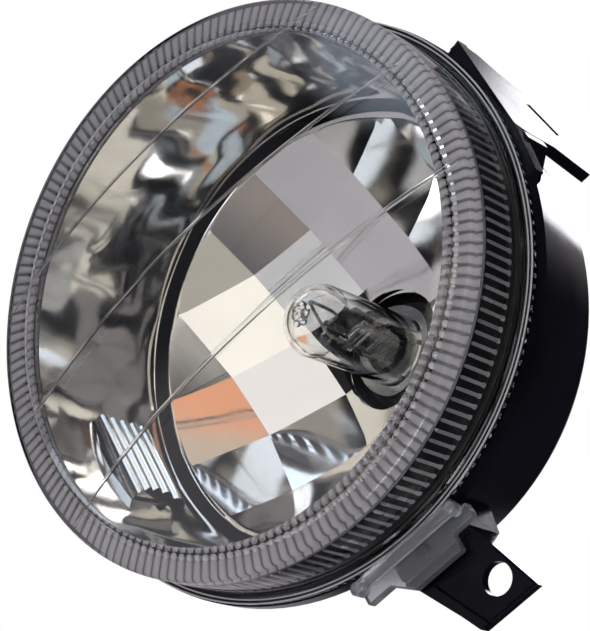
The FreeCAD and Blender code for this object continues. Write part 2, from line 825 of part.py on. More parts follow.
def make_ferrule():
    """Metal sleeve that grips the foot of the capsule."""
    body = new_body("bulb_ferrule")
    spin(body, "Sleeve", [
        ("glass_radius + 0.05", "36.4"),
        ("ferrule_radius", "36.4"),
        ("ferrule_radius", "42"),
        ("glass_radius + 0.05", "42"),
        ("glass_radius + 0.05", "41"),
        ("glass_radius + 1.1", "40.6"),
        ("glass_radius + 1.1", "37.4"),
        ("glass_radius + 0.05", "37"),
    ])
    return body


def make_bulb_base():
    """Moulded base: bayonet collar, seal groove, flange and sideways plug socket."""
    body = new_body("bulb_base")
    spin(body, "Collar", [
        ("0", "40.7"),
        ("glass_radius", "40.7"),
        ("glass_radius", "42.1"),
        ("ferrule_radius + 0.05", "42.1"),
        ("ferrule_radius + 0.05", "40.7"),
        ("collar_barrel", "40.7"),
        ("collar_barrel", "45.4"),
        ("11.6", "45.4"),
        ("11.6", "46.0"),
        ("collar_barrel", "46.0"),
        ("collar_barrel", "48.3"),
        ("11.6", "48.3"),
        ("11.6", "flange_seat"),
        ("bulb_flange_radius", "flange_seat"),
        ("bulb_flange_radius", "flange_seat + 2.2"),
        ("11.5", "flange_seat + 2.2"),
        ("11.5", "socket_front + 0.2"),
        ("0", "socket_front + 0.2"),
    ])
    for number, angle in enumerate((100, 220, 340)):
        centre = (f"collar_barrel * sin({angle})", f"collar_barrel * cos({angle})")
        rod(body, f"Lug{number}", centre, "lug_radius", "40.9", "bayonet_front - 0.3")
    half = "socket_half_width"
    slab(body, "Socket", [
        ("-socket_reach", f"-{half}"), ("8", f"-{half}"), ("12", "-5.5"),
        ("12", "5.5"), ("8", half), ("-socket_reach", half),
    ], "socket_front", "socket_back")
    wall = "socket_wall"
    side_slab(body, "SocketCavity", box_corners(
        f"socket_front + {wall}", f"-{half} + {wall}",
        f"socket_back - {wall}", f"{half} - {wall}"), "-socket_reach - 1", "-14", True)
    for name, side in (("Low", "-1 * "), ("High", "")):
        side_slab(body, "BladePocket" + name, box_corners(
            "blade_depth", f"{side}blade_spacing - 0.4",
            "blade_depth + 2.8", f"{side}blade_spacing + 0.4"),
            "-14.5", "-5", True)
    side_slab(body, "LatchRamp", [
        ("socket_back - 0.2", "-2.2"), ("socket_back + 1.3", "-2.2"),
        ("socket_back + 1.3", "2.2"), ("socket_back - 0.2", "2.2"),
    ], "-22.5", "-20.5")
    return body


def make_bulb_seal():
    """O-ring in the base's groove, sealing in the neck."""
    body = new_body("bulb_o_ring")
    spin(body, "Ring", [
        ("10.25", "47.2", "-1.13"),
        ("12.5", "47.2", "-1.13"),
    ])
    return body


# ---------------------------------------------------------------- rear fittings
def make_boot():
    """Rubber bellows between the shell's collar and the reflector's neck."""
    body = new_body("rear_boot")
    fold = "collar_bore - 1.2"
    sleeve = "neck_radius + 1.2"
    spin(body, "Bellows", [
        ("collar_radius + 0.05", "48.0"),
        ("collar_radius + 1.5", "48.0"),
        ("collar_radius + 1.5", "collar_end + 1.3"),
        (fold, "collar_end + 1.3"),
        (fold, "47.0"),
        (f"{fold} - 0.6", "46.5"),
        (f"{sleeve} + 0.2", "46.9"),
        (sleeve, "48.7"),
        ("neck_radius + 0.05", "48.7"),
        ("neck_radius + 0.05", "44.4"),
        (f"{sleeve} + 0.1", "44.4"),
        (f"{sleeve} + 0.7", "45.3"),
        (f"{fold} + 0.4", "45.6"),
        (f"{fold} + 1.0", "46.6"),
        (f"{fold} + 1.0", "collar_end + 0.05"),
        ("collar_radius + 0.05", "collar_end + 0.05"),
    ])
    return body


def make_vent_membrane():
    """Breathable disc across the end of the vent tube."""
    body = new_body("vent_membrane")
    rod(body, "Disc", ("0", "0"), "vent_tube - 0.2", "vent_end + 0.02", "vent_end + 0.4")
    move_to_vent(body)
    return body


def make_vent_cap():
    """Rubber cap over the vent tube, with breathing notches in its skirt."""
    body = new_body("vent_cap")
    spin(body, "Cap", [
        ("0", "vent_end + 1.0"),
        ("vent_tube - 0.6", "vent_end + 1.0"),
        ("vent_tube + 0.05", "vent_end + 0.3"),
        ("vent_tube + 0.05", "vent_end - 3.2"),
        ("vent_tube + 1.5", "vent_end - 3.2"),
        ("vent_tube + 1.9", "vent_end + 1.4"),
        ("vent_tube + 0.9", "vent_end + 2.4"),
        ("0", "vent_end + 2.4"),
    ])
    notch = box_corners("vent_tube - 1", "-0.6", "vent_tube + 3", "0.6")
    slab(body, "Notch", notch, "vent_end - 4", "vent_end - 1.6", True)
    move_to_vent(body)
    return body


def move_to_vent(body):
    body.setExpression(".Placement.Base.x", formula("vent_x"))
    body.setExpression(".Placement.Base.z", formula("vent_z"))


# ---------------------------------------------------------------- contact blades
def make_blade_pair():
    """Two blades as separate solids in one node: boxes bound to the sheet, fused."""
    blades = []
    for name, side in (("Low", "-1 * "), ("High", "")):
        blade = document.addObject("Part::Box", "Blade" + name)
        blade.setExpression("Length", formula("socket_reach - 2 - 5"))
        blade.setExpression("Width", formula("2.8"))
        blade.setExpression("Height", formula("0.8"))
        blade.setExpression(".Placement.Base.x", formula("-socket_reach + 2"))
        blade.setExpression(".Placement.Base.y", formula("blade_depth"))
        blade.setExpression(".Placement.Base.z", formula(f"{side}blade_spacing - 0.4"))
        blades.append(blade)
    pair = document.addObject("Part::MultiFuse", "bulb_terminals")
    pair.Shapes = blades
    pair.Label = "bulb_terminals"
    return pair


def check_document():
    """Stop if any object failed to recompute."""
    for item in document.Objects:
        if "Invalid" in item.State or "Error" in item.State:
            raise RuntimeError(f"{item.Label} failed: {item.State}")


def export(parts):
    """Write each sub-part to its own STEP file, once all of them are sound."""
    for part in parts:
        shape = part.Shape
        if shape.isNull() or not shape.isValid() or not shape.Solids:
            raise RuntimeError(f"{part.Label} has no valid solid")
    os.makedirs("parts", exist_ok=True)
    for part in parts:
        part.Shape.exportStep(f"parts/{part.Label}.step")
        print(f"{part.Label:20s} {part.Shape.Volume:10.1f} mm3  {len(part.Shape.Solids)} solid")


PARTS = [
    make_housing(),
    make_lens(),
    make_lens_seal(),
    make_trim(),
    make_reflector(),
    make_pivot_stud("pivot_stud_left", "-1 * "),
    make_pivot_stud("pivot_stud_right", ""),
    make_pivot_socket("pivot_socket_left", "-1 * "),
    make_pivot_socket("pivot_socket_right", ""),
    make_aim_screw(),
    make_aim_clip(),
    make_aim_nut(),
    make_aim_socket(),
    make_bulb_glass(),
    make_bulb_stem(),
    make_lead_wires(),
    make_filament(),
    make_bulb_bead(),
    make_ferrule(),
    make_bulb_base(),
    make_bulb_seal(),
    make_blade_pair(),
    make_boot(),
    make_vent_membrane(),
    make_vent_cap(),
]
document.recompute()
check_document()
export(PARTS)
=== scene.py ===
"""Looks of a round automotive fog light: clear fluted lens, faceted reflector and bulb.

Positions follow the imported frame.  Sizes are in millimetres and are scaled to metres
when a mesh is made.  Depth runs along +Y; the lamp shines towards -Y.
"""
import json
import math
import random
import bmesh
import bpy
from mathutils import Matrix, Vector


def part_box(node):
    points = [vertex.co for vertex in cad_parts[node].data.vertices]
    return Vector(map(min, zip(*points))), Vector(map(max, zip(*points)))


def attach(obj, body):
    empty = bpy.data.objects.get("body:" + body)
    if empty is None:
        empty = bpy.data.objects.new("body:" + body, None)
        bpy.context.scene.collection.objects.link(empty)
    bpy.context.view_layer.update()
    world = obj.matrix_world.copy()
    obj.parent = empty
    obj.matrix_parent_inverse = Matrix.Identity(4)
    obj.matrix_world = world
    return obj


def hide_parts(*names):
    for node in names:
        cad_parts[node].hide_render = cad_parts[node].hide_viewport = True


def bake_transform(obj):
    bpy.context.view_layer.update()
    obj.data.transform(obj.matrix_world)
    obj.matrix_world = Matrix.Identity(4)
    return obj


MM = 0.001
RELIEF_DEPTH = 0.0002
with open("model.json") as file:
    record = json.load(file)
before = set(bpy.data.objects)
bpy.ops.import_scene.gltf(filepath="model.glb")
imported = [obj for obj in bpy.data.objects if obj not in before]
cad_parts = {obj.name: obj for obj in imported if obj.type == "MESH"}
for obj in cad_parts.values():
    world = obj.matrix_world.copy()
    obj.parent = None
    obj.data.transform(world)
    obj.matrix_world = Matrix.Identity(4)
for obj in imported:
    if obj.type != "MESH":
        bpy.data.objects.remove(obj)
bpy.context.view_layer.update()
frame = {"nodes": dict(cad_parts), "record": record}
dice = random.Random(7)


def millimetres(node):
    """The box of a CAD node, as (lowest, highest) corners in millimetres."""
    low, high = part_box(node)
    return Vector(low) / MM, Vector(high) / MM


# ---------------------------------------------------------------- materials
def new_material(name):
    """A material with its node tree and its shader."""
    made = bpy.data.materials.new(name)
    made.use_nodes = True
    nodes = made.node_tree.nodes
    shader = next(node for node in nodes if node.type == "BSDF_PRINCIPLED")
    return made, made.node_tree, shader


def noise(tree, scale, detail=4.0, stretch=(1, 1, 1)):
    """Noise in the object's own space; scale is in features per metre."""
    place = tree.nodes.new("ShaderNodeTexCoord")
    mapping = tree.nodes.new("ShaderNodeMapping")
    mapping.inputs["Scale"].default_value = stretch
    texture = tree.nodes.new("ShaderNodeTexNoise")
    texture.inputs["Scale"].default_value = scale
    texture.inputs["Detail"].default_value = detail
    tree.links.new(place.outputs["Object"], mapping.inputs["Vector"])
    tree.links.new(mapping.outputs["Vector"], texture.inputs["Vector"])
    return texture.outputs["Fac"]


def spread(tree, value, low, high, start=0.35, stop=0.65):
    """Map a noise value onto a range."""
    node = tree.nodes.new("ShaderNodeMapRange")
    node.inputs["From Min"].default_value = start
    node.inputs["From Max"].default_value = stop
    node.inputs["To Min"].default_value = low
    node.inputs["To Max"].default_value = high
    tree.links.new(value, node.inputs["Value"])
    return node.outputs["Result"]


def blend_colours(tree, value, first, second):
    """Mix two colours by a value."""
    node = tree.nodes.new("ShaderNodeMix")
    node.data_type = "RGBA"
    node.inputs["A"].default_value = (*first, 1)
    node.inputs["B"].default_value = (*second, 1)
    tree.links.new(value, node.inputs["Factor"])
    return node.outputs["Result"]


def add_bump(tree, shader, value, strength):
    """A fine relief on the shader's normal."""
    node = tree.nodes.new("ShaderNodeBump")
    node.inputs["Strength"].default_value = strength
    node.inputs["Distance"].default_value = RELIEF_DEPTH
    tree.links.new(value, node.inputs["Height"])
    tree.links.new(node.outputs["Normal"], shader.inputs["Normal"])


def plain_surface(name, dark, light, rough, metallic=0.0, grain=900, bump=0.05, patch=60,
                  stretch=(1, 1, 1), specular=0.5):
    """Colour drifting between two tones, roughness that varies with it, and a fine grain."""
    made, tree, shader = new_material(name)
    drift = spread(tree, noise(tree, patch, stretch=stretch), 0, 1)
    tree.links.new(blend_colours(tree, drift, dark, light), shader.inputs["Base Color"])
    tree.links.new(spread(tree, noise(tree, patch * 3, stretch=stretch), *rough),
                   shader.inputs["Roughness"])
    shader.inputs["Metallic"].default_value = metallic
    shader.inputs["Specular IOR Level"].default_value = specular
    add_bump(tree, shader, noise(tree, grain, 6, stretch), bump)
    return made


def clear_surface(name, tint, ior, rough, haze=0.0, bump=0.02):
    """Clear plastic or glass with faint flow marks and a little haze."""
    made, tree, shader = new_material(name)
    drift = spread(tree, noise(tree, 40), 0, 1)
    paler = tuple(min(1.0, part * 1.02) for part in tint)
    tree.links.new(blend_colours(tree, drift, tint, paler), shader.inputs["Base Color"])
    tree.links.new(spread(tree, noise(tree, 120), *rough), shader.inputs["Roughness"])
    shader.inputs["Transmission Weight"].default_value = 1.0 - haze
    shader.inputs["IOR"].default_value = ior
    add_bump(tree, shader, noise(tree, 90, 2), bump)
    return made


MATERIALS = {
    "housing_plastic": plain_surface(
        "black_shell", (0.0025, 0.0025, 0.004), (0.005, 0.005, 0.009), (0.07, 0.14),
        grain=2500, bump=0.04, specular=0.4),
    "clear_lens": clear_surface("clear_lens", (0.975, 0.98, 0.985), 1.5, (0.0, 0.008)),
    "lens_rib": clear_surface("lens_rib", (0.84, 0.83, 0.86), 1.5, (0.15, 0.3), 0.42, 0.05),
    "lens_flute": clear_surface("lens_flute", (0.93, 0.90, 0.92), 1.5, (0.10, 0.25), 0.85, 0.05),
    # lens band: its mid grey is painted shade, darkening the grooves between the flutes
    "lens_band_painted_shade": clear_surface("lens_band_painted_shade", (0.40, 0.385, 0.41), 1.5, (0.10, 0.25), 0.85, 0.05),
    # flange beads: their pale frosted grey is a painted highlight standing in for bright lines
    # along the flange's edges
    "lens_bead_painted_highlight": clear_surface("lens_bead_painted_highlight", (0.55, 0.54, 0.56), 1.5, (0.05, 0.15), 0.8, 0.05),
    "lens_clip": clear_surface("frosted_clip", (0.80, 0.82, 0.86), 1.5, (0.10, 0.22), 0.1, 0.1),
    "sealant": plain_surface("sealant", (0.02, 0.02, 0.02), (0.05, 0.05, 0.05), (0.5, 0.8)),
    "chrome_trim": plain_surface(
        "chrome_trim", (0.64, 0.63, 0.60), (0.74, 0.73, 0.70), (0.05, 0.10), 1.0,
        grain=160, bump=0.08, patch=30),
    "mirror_coat": plain_surface(
        "mirror_coat", (0.76, 0.745, 0.72), (0.83, 0.815, 0.79), (0.02, 0.05), 1.0,
        grain=200, bump=0.015, patch=40),
    "trim_lip": plain_surface(
        "trim_lip", (0.34, 0.32, 0.34), (0.44, 0.42, 0.44), (0.22, 0.34), 0.6),
    "trim_back": plain_surface(
        "trim_back", (0.010, 0.010, 0.011), (0.025, 0.024, 0.026), (0.35, 0.5), specular=0.3),
    "ball_steel": plain_surface(
        "zinc_steel", (0.45, 0.45, 0.42), (0.66, 0.66, 0.62), (0.2, 0.4), 1.0, patch=400),
    "nylon": plain_surface("nylon", (0.72, 0.70, 0.62), (0.82, 0.80, 0.74), (0.35, 0.5)),
    "bulb_glass": clear_surface("bulb_glass", (0.985, 0.99, 0.985), 1.47, (0.0, 0.01)),
    "stem_glass": clear_surface("stem_glass", (0.93, 0.95, 0.94), 1.5, (0.02, 0.12), 0.0, 0.4),
    "lead_wire": plain_surface(
        "lead_wire", (0.20, 0.19, 0.18), (0.42, 0.41, 0.40), (0.25, 0.45), 1.0, patch=900),
    "tungsten": plain_surface(
        "tungsten", (0.10, 0.10, 0.10), (0.24, 0.24, 0.25), (0.3, 0.5), 1.0, patch=1500),
    "ferrule_metal": plain_surface(
        "ferrule_metal", (0.62, 0.61, 0.58), (0.78, 0.77, 0.74), (0.18, 0.32), 1.0,
        stretch=(1, 8, 1)),
    "base_plastic": plain_surface(
        "base_plastic", (0.035, 0.035, 0.038), (0.06, 0.06, 0.062), (0.4, 0.6), patch=200,
        grain=4000, bump=0.25),
    "seal_rubber": plain_surface(
        "silicone", (0.30, 0.06, 0.035), (0.42, 0.10, 0.06), (0.45, 0.65), grain=3000),
    "contact_brass": plain_surface(
        "tinned_brass", (0.62, 0.50, 0.28), (0.78, 0.66, 0.42), (0.2, 0.35), 1.0, patch=500),
    "boot_rubber": plain_surface(
        "boot_rubber", (0.012, 0.012, 0.013), (0.028, 0.028, 0.03), (0.55, 0.8), grain=3500,
        bump=0.3),
    "membrane": plain_surface(
        "membrane", (0.74, 0.74, 0.72), (0.86, 0.86, 0.84), (0.8, 0.95), grain=6000, bump=0.5),
}


# ---------------------------------------------------------------- mesh helpers
def make_piece(name, points, faces, finish, body, sharp=35):
    """A mesh from points in millimetres, which rides on a CAD body if one is named."""
    mesh = bpy.data.meshes.new(name)
    mesh.from_pydata([tuple(Vector(point) * MM) for point in points], [], faces)
    mesh.validate()
    piece = bpy.data.objects.new(name, mesh)
    bpy.context.scene.collection.objects.link(piece)
    mesh.materials.append(MATERIALS[finish])
    tidy_mesh(mesh, sharp)
    if body:
        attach(piece, body)
    return piece


def tidy_mesh(mesh, sharp):
    """Weld doubled points, face outwards, and shade smooth except at sharp edges."""
    work = bmesh.new()
    work.from_mesh(mesh)
    bmesh.ops.remove_doubles(work, verts=work.verts, dist=1e-7)
    bmesh.ops.recalc_face_normals(work, faces=work.faces)
    work.to_mesh(mesh)
    work.free()
    mesh.shade_smooth()
    mesh.set_sharp_from_angle(angle=math.radians(sharp))


def rounded(corners, radius, steps=4):
    """Round each corner of a closed outline; a corner may carry its own radius."""
    straight = math.radians(172)
    longest = 0.48
    path = []
    count = len(corners)
    for here in range(count):
        corner = Vector(corners[here][:2])
        size = corners[here][2] if len(corners[here]) > 2 else radius
        before = Vector(corners[here - 1][:2]) - corner
        after = Vector(corners[(here + 1) % count][:2]) - corner
        turn = before.angle(after, math.pi)
        if size <= 0 or turn > straight:
            path.append(corner)
            continue
        reach = min(size / math.tan(turn / 2), before.length * longest, after.length * longest)
        start = corner + before.normalized() * reach
        end = corner + after.normalized() * reach
        for step in range(steps + 1):
            share = step / steps
            low = start.lerp(corner, share)
            high = corner.lerp(end, share)
            path.append(low.lerp(high, share))
    return path


def turned_faces(columns, count, closed=True):
    """Faces of an outline of count points that is repeated round an axis."""
    faces = []
    for column in range(columns):
        after = (column + 1) % columns
        for row in range(count if closed else count - 1):
            below = (row + 1) % count
            faces.append((column * count + row, column * count + below,
                          after * count + below, after * count + row))
    return faces


def bar_faces(first, rings, count):
    """Faces of a capped bar: rings of count points each, one after another from first."""
    faces = []
    for ring in range(rings - 1):
        here = first + ring * count
        for side in range(count):
            after = (side + 1) % count
            faces.append((here + side, here + after, here + count + after, here + count + side))
    faces.append(tuple(range(first, first + count)))
    faces.append(tuple(range(first + (rings - 1) * count, first + rings * count)))
    return faces


def lathe(name, profile, finish, body, columns=192, centre=(0, 0), sharp=35,
          closed=True):
    """Turn a (radius, depth) outline round an axis along Y."""
    points = []
    for column in range(columns):
        angle = 2 * math.pi * column / columns
        for radius, depth in profile:
            points.append((centre[0] + radius * math.cos(angle), depth,
                           centre[1] + radius * math.sin(angle)))
    faces = turned_faces(columns, len(profile), closed)
    return make_piece(name, points, faces, finish, body, sharp)


def prism(name, outline, front, back, finish, body, bevel=0.3):
    """Extrude an (x, z) outline from one depth to another and round its edges."""
    count = len(outline)
    points = [(x, depth, z) for depth in (front, back) for x, z in outline]
    faces = [tuple(range(count)), tuple(range(count, 2 * count))]
    for here in range(count):
        after = (here + 1) % count
        faces.append((here, after, count + after, count + here))
    piece = make_piece(name, points, faces, finish, body, 30)
    rounding = piece.modifiers.new("rounding", "BEVEL")
    rounding.width = bevel * MM
    rounding.segments = 3
    rounding.limit_method = "ANGLE"
    rounding.harden_normals = True
    return piece


def tube(name, path, radius, finish, body, resolution=6):
    """A round wire along points in millimetres, turned into a mesh."""
    curve = bpy.data.curves.new(name, "CURVE")
    curve.dimensions = "3D"
    curve.bevel_depth = radius * MM
    curve.bevel_resolution = resolution
    curve.use_fill_caps = True
    line = curve.splines.new("NURBS")
    line.points.add(len(path) - 1)
    for point, place in zip(line.points, path):
        point.co = (*(Vector(place) * MM), 1)
    line.order_u = 3
    line.use_endpoint_u = True
    line.resolution_u = 6
    holder = bpy.data.objects.new(name + "_line", curve)
    mesh = bpy.data.meshes.new_from_object(holder)
    bpy.data.objects.remove(holder)
    mesh.name = name
    mesh.shade_smooth()
    piece = bpy.data.objects.new(name, mesh)
    bpy.context.scene.collection.objects.link(piece)
    mesh.materials.clear()
    mesh.materials.append(MATERIALS[finish])
    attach(piece, body)
    return piece


# ---------------------------------------------------------------- lens
LENS_LOW, LENS_HIGH = millimetres("lens")
BARREL_RADIUS = 50.2
CORNER_ROUNDING = 1.0
FLANGE_RADIUS = LENS_HIGH.x
LENS_APEX = LENS_LOW.y
LENS_CORNER = -15.0
WINDOW_RADIUS = 44.1
WINDOW_DEPTH = -13.9
WINDOW_WALL = 2.6
RING_DEPTH = -10.9
INNER_WALL = 48.7
FLUTE_BASE = -11.45
FLUTES = 170
FLUTE_WAVE = (0, 0, 0, 0.1, 0.7, 1.0, 0.7, 0.1)
# Outline of a rib as (across, up), in shares of its half width and of its height.
RIB_SECTION = ((-1.0, -0.1), (-0.8, 0.55), (-0.35, 0.93), (0.35, 0.93), (0.8, 0.55), (1.0, -0.1))


def arc_depth(radius, edge_radius, edge_depth, apex):
    """Depth of a shallow dome that passes through its apex and its edge."""
    rise = edge_depth - apex
    ball = (edge_radius ** 2 + rise ** 2) / (2 * rise)
    return apex + ball - math.sqrt(ball ** 2 - radius ** 2)


def dome_depth(radius):
    """Depth of the outside of the lens at a radius."""
    return arc_depth(radius, BARREL_RADIUS - CORNER_ROUNDING, LENS_CORNER, LENS_APEX)


def lens_rows():
    """Rows from the outside centre, round the tongue, back to the inside centre.
    A row is (radius, depth, flute depth, flute direction)."""
    rows = []
    still = (0, 0)
    dome_steps = 28
    rim = BARREL_RADIUS - CORNER_ROUNDING
    for step in range(1, dome_steps + 1):
        radius = rim * step / dome_steps
        rows.append((radius, dome_depth(radius), 0, still))
    for step in range(1, 6):
        angle = math.radians(90 - 18 * step)
        rows.append((rim + CORNER_ROUNDING * math.cos(angle),
                     LENS_CORNER + CORNER_ROUNDING * (1 - math.sin(angle)), 0, still))
    sides = [
        (BARREL_RADIUS, -8), (BARREL_RADIUS, -0.25), (BARREL_RADIUS + 0.25, 0),
        (FLANGE_RADIUS - 0.25, 0), (FLANGE_RADIUS, 0.25), (FLANGE_RADIUS, 0.95),
        (FLANGE_RADIUS - 0.25, 1.2), (BARREL_RADIUS, 1.2), (BARREL_RADIUS, 2.8),
        (BARREL_RADIUS - 0.2, 3.0), (INNER_WALL + 0.5, 3.0), (INNER_WALL + 0.3, 2.8),
        (INNER_WALL + 0.3, 0), (INNER_WALL, -1.0), (INNER_WALL, -2.6), (INNER_WALL, -6),
        (INNER_WALL, -10.1), (INNER_WALL - 0.12, -10.6), (INNER_WALL - 0.45, -10.95),
    ]
    rows += [(radius, depth, 0, still) for radius, depth in sides]
    rearward = (0, 1)
    for radius, flute in ((47.6, 0.04), (46.6, 0.05), (45.6, 0.05), (45.1, 0.03), (44.85, 0.0)):
        rows.append((radius, RING_DEPTH - 0.15, flute, rearward))
    outward = (1, 0)
    for radius, depth, flute in ((44.6, -11.3, 0.03), (44.5, -12.2, 0.03), (44.4, -12.5, 0),
                                 (44.25, -13.6, 0), (44.15, WINDOW_DEPTH + 0.02, 0)):
        rows.append((radius, depth, flute, outward))
    inside_apex = LENS_APEX + WINDOW_WALL
    for step in range(dome_steps, 0, -1):
        radius = WINDOW_RADIUS * step / dome_steps
        depth = arc_depth(radius, WINDOW_RADIUS, WINDOW_DEPTH, inside_apex)
        rows.append((radius, depth, 0, still))
    return rows


def make_lens():
    """The clear moulding: smooth outside, with faint flutes inside, round the window."""
    flute_steps = len(FLUTE_WAVE)
    columns = FLUTES * flute_steps
    rows = lens_rows()
    points = [(0, LENS_APEX, 0), (0, LENS_APEX + WINDOW_WALL, 0)]
    for radius, depth, flute, (out_r, out_d) in rows:
        for column in range(columns):
            angle = 2 * math.pi * column / columns
            move = flute * FLUTE_WAVE[column % flute_steps]
            reach = radius + move * out_r
            points.append((reach * math.cos(angle), depth + move * out_d,
                           reach * math.sin(angle)))
    faces = []
    for column in range(columns):
        after = (column + 1) % columns
        for row in range(len(rows) - 1):
            here = 2 + row * columns
            below = here + columns
            faces.append((here + column, here + after, below + after, below + column))
        last = 2 + (len(rows) - 1) * columns
        faces.append((0, 2 + after, 2 + column))
        faces.append((1, last + column, last + after))
    lens = make_piece("lens_moulding", points, faces, "clear_lens", "housing", 40)
    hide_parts("lens")


def make_rib_ring(name, finish, stations, place):
    """Equal half-round ribs round the axis.  A station is (where it is along the rib, half
    width, height), and place turns the first and a rise into (radius, depth)."""
    points = []
    faces = []
    for rib in range(FLUTES):
        angle = 2 * math.pi * (rib + 0.5) / FLUTES
        first = len(points)
        for along, half_width, height in stations:
            for across, rise in RIB_SECTION:
                radius, depth = place(along, rise * height)
                side = across * half_width
                points.append((radius * math.cos(angle) - side * math.sin(angle), depth,
                               radius * math.sin(angle) + side * math.cos(angle)))
        faces += bar_faces(first, len(stations), len(RIB_SECTION))
    make_piece(name, points, faces, finish, "housing", 50)


def make_lens_ribs():
    """Frosted ribs along the inside of the barrel, each with a bead at its rear end."""
    sunk = 0.02
    stations = ((-10.0, 0.10, 0.05), (-9.8, 0.26, 0.30), (-9.3, 0.30, 0.36), (-4.0, 0.30, 0.36),
                (-3.7, 0.40, 0.44), (-3.3, 0.44, 0.48), (-2.95, 0.34, 0.36), (-2.8, 0.10, 0.05))
    make_rib_ring("lens_barrel_ribs", "lens_rib", stations,
                  lambda depth, rise: (INNER_WALL - sunk - rise, depth))


def make_lens_flutes():
    """Cloudy ring of radial flutes under the dome's edge, each with a bead at its inner end, over
    a band tinted mid grey as painted shade so the grooves between flutes read dark.
    """
    stations = ((44.75, 0.20, 0.10), (44.9, 0.46, 0.50), (45.25, 0.60, 0.85), (45.6, 0.58, 0.80),
                (45.9, 0.50, 0.50), (46.3, 0.62, 0.75), (48.9, 0.72, 0.78), (49.4, 0.74, 0.40))
    make_rib_ring("lens_flutes", "lens_flute", stations,
                  lambda radius, rise: (radius, FLUTE_BASE - rise))
    # the band's mid grey is painted shade that makes the gaps between the flutes look dark
    band = rounded([(45.75, -11.5), (50.05, -11.5), (50.05, -11.15), (45.75, -11.15)], 0.1)
    lathe("lens_flute_band", band, "lens_band_painted_shade", "housing", 256)


def make_lens_ridge(name, height):
    """A straight raised line across the dome."""
    half_width = 0.42
    proud = 0.14
    section = [(-1.0, -0.12), (-0.8, 0.75), (-0.5, 1.0), (0.5, 1.0), (0.8, 0.75), (1.0, -0.12)]
    reach = math.sqrt((BARREL_RADIUS - 1.2) ** 2 - height ** 2)
    steps = 72
    points = []
    for step in range(steps + 1):
        x = reach * (2 * step / steps - 1)
        for across, rise in section:
            z = height + across * half_width
            radius = math.hypot(x, z)
            points.append((x, dome_depth(radius) - rise * proud, z))
    faces = bar_faces(0, steps + 1, len(section))
    make_piece(name, points, faces, "clear_lens", "housing", 50)


def make_flange_beads():
    """Two fine raised rings on the front of the flange, in pale frosted grey as a painted
    highlight along its edges.
    """
    for number, radius in enumerate((50.95, 51.62)):
        bead = [(radius - 0.16, 0.03), (radius - 0.11, -0.10), (radius, -0.15),
                (radius + 0.11, -0.10), (radius + 0.16, 0.03)]
        lathe(f"lens_flange_bead_{number}", bead, "lens_bead_painted_highlight", "housing", 288)


def make_lens_clip():
    """Translucent clip under the lens: web, cross bar with knobbed ends, and slanted lip."""
    bar = rounded([
        (-9.8, -51.0), (-9.8, -53.4), (-11.8, -53.5), (-11.8, -56.2), (-6.7, -56.2),
        (-3.3, -59.4), (7.2, -59.4), (7.2, -56.2), (11.8, -56.2), (11.8, -53.5),
        (9.8, -53.4), (9.8, -51.0),
    ], 0.4)
    prism("lens_clip", bar, 0.1, 1.9, "lens_clip", "housing", bevel=0.25)
    ridge = rounded([(-11.7, -54.2), (10.4, -54.2), (10.4, -52.4), (-11.7, -52.4)], 0.5)
    prism("lens_clip_ridge", ridge, -2.2, 0.05, "lens_clip", "housing", bevel=0.4)
    for place, name in ((-11.0, "left"), (9.9, "right")):
        knob = [(0.01, -2.9), (0.8, -2.9), (1.15, -2.5), (1.2, -0.4), (1.0, 0.0), (0.01, 0.0)]
        lathe(f"lens_clip_knob_{name}", knob, "lens_clip", "housing", 32, (place, -53.8), 40)
    mark = [(0.01, -0.25), (0.9, -0.25), (1.1, -0.05), (1.1, 0.1), (0.01, 0.1)]
    lathe("lens_clip_mark", mark, "lens_clip", "housing", 32, (1.5, -55.4), 40)
    lip = rounded([(-5.6, -57.0), (-3.1, -59.1), (6.9, -59.1), (6.9, -57.0)], 0.5)
    prism("lens_clip_lip", lip, 1.9, 2.45, "lens_clip", "housing", bevel=0.2)


# ---------------------------------------------------------------- chrome surround
def wavy_wall(name, corners, finish, body):
    """A lathed wall whose inner side drifts slightly in and out, as thin mouldings do."""
    columns = 288
    points = []
    for column in range(columns):
        angle = 2 * math.pi * column / columns
        for radius, depth, wave in corners:
            drift = 0.5 * math.sin(5 * angle + 0.22 * depth + 0.7)
            drift += 0.32 * math.sin(9 * angle - 0.35 * depth)
            drift += 0.18 * math.sin(16 * angle + 0.5 * depth + 2)
            reach = radius + wave * drift
            points.append((reach * math.cos(angle), depth, reach * math.sin(angle)))
    faces = turned_faces(columns, len(corners))
    return make_piece(name, points, faces, finish, body, 40)


def make_trim():
    """Chromed wall inside the lens, a grey lip behind the flutes, and a dark outer side."""
    corners = [(45.3, -9.75, 0), (45.8, -9.7, 0), (44.9, 1.2, 0), (42.7, 18.4, 0),
               (42.2, 18.4, 0)]
    steps = 26
    rear_radius, rear_depth = 42.1, 17.9
    flare, length = 2.95, 27.6
    wave = 0.15
    for step in range(steps + 1):
        depth = rear_depth - length * step / steps
        radius = rear_radius + flare * step / steps
        ends = min(1.0, min(step, steps - step) / 4)
        corners.append((radius, depth, wave * ends))
    trim = wavy_wall("trim_funnel", corners, "chrome_trim", "housing")
    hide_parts("trim_bezel")
    lip = rounded([(45.0, -10.55), (48.25, -10.5), (48.25, -9.8), (45.0, -9.8)], 0.22)
    lathe("trim_lip", lip, "trim_lip", "housing", 256)
    sleeve = rounded([
        (45.9, -9.75), (46.4, -9.75), (45.9, 0.1, 0.1), (47.1, 0.15, 0.1), (47.1, 1.15, 0.1),
        (45.6, 1.2, 0.1), (43.2, 18.3, 0.2), (42.8, 18.3, 0.1), (45.0, 1.2, 0),
    ], 0.15)
    lathe("trim_sleeve", sleeve, "trim_back", "housing", 256)


